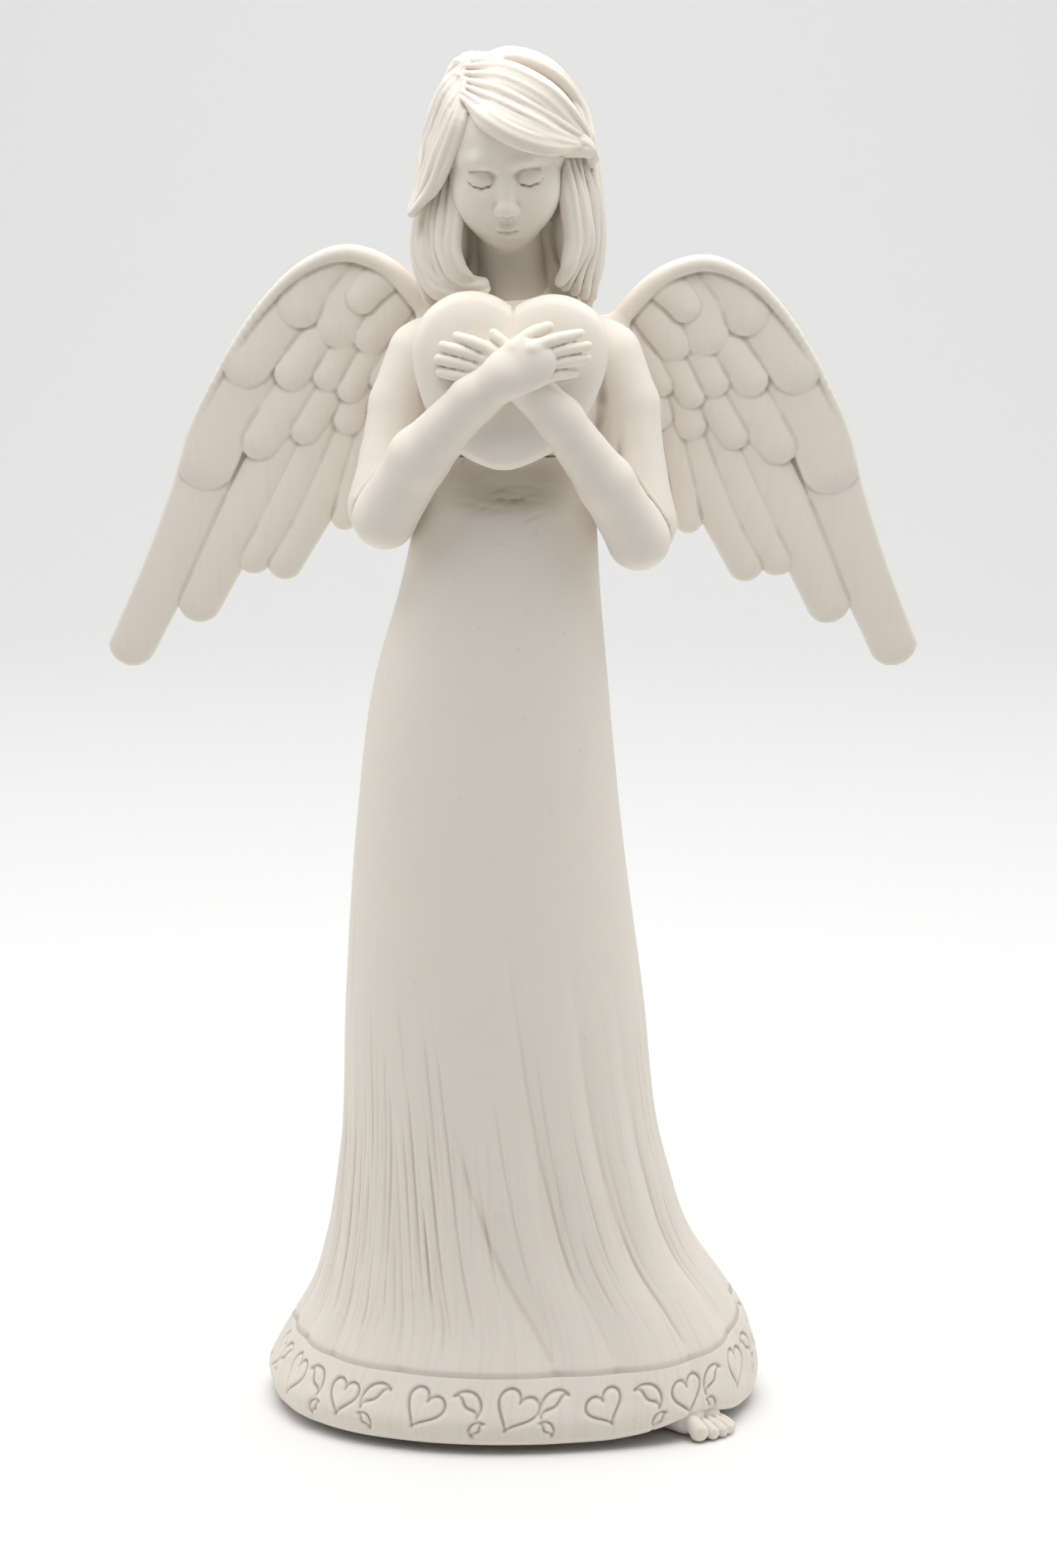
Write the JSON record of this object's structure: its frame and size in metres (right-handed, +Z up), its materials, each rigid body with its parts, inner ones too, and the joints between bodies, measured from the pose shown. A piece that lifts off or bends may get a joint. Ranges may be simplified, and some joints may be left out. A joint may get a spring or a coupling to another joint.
{
  "type": "angel figurine",
  "caption": "Standing resin angel figurine in a long gown, wings folded down behind it, both hands holding a heart to the chest, closed by a plate underneath.",
  "frame": {"origin": "on the floor, at the centre of the figurine's overall footprint", "axes": "+Z up; the figure faces -Y; +X is the viewer's right, which is the figure's left"},
  "size_m": [0.1454, 0.0765, 0.24],
  "materials": {
    "gown": "matte cast resin, off-white with a warm wash",
    "head": "matte cast resin",
    "heart": "matte cast resin",
    "arms": "matte cast resin",
    "wings": "matte cast resin",
    "foot": "matte cast resin",
    "base_resin": "matte, unpainted",
    "felt": "pressed felt",
    "plug": "matte",
    "plaster": "rough plaster",
    "dowel_steel": "ground"
  },
  "bodies": {
    "root": {"gown": "gown", "head": "head", "heart": "heart", "right_forearm": "arms", "left_forearm": "arms", "right_wing": "wings", "left_wing": "wings", "left_foot": "foot", "closing_plate": "base_resin", "felt_pad": "felt", "filler_plug": "plug", "plaster_core": "plaster", "neck_dowel": "dowel_steel", "right_wing_dowels": "dowel_steel", "left_wing_dowels": "dowel_steel", "heart_dowels": "dowel_steel", "right_arm_dowel": "dowel_steel", "left_arm_dowel": "dowel_steel", "foot_dowel": "dowel_steel"}
  },
  "joints": []
}
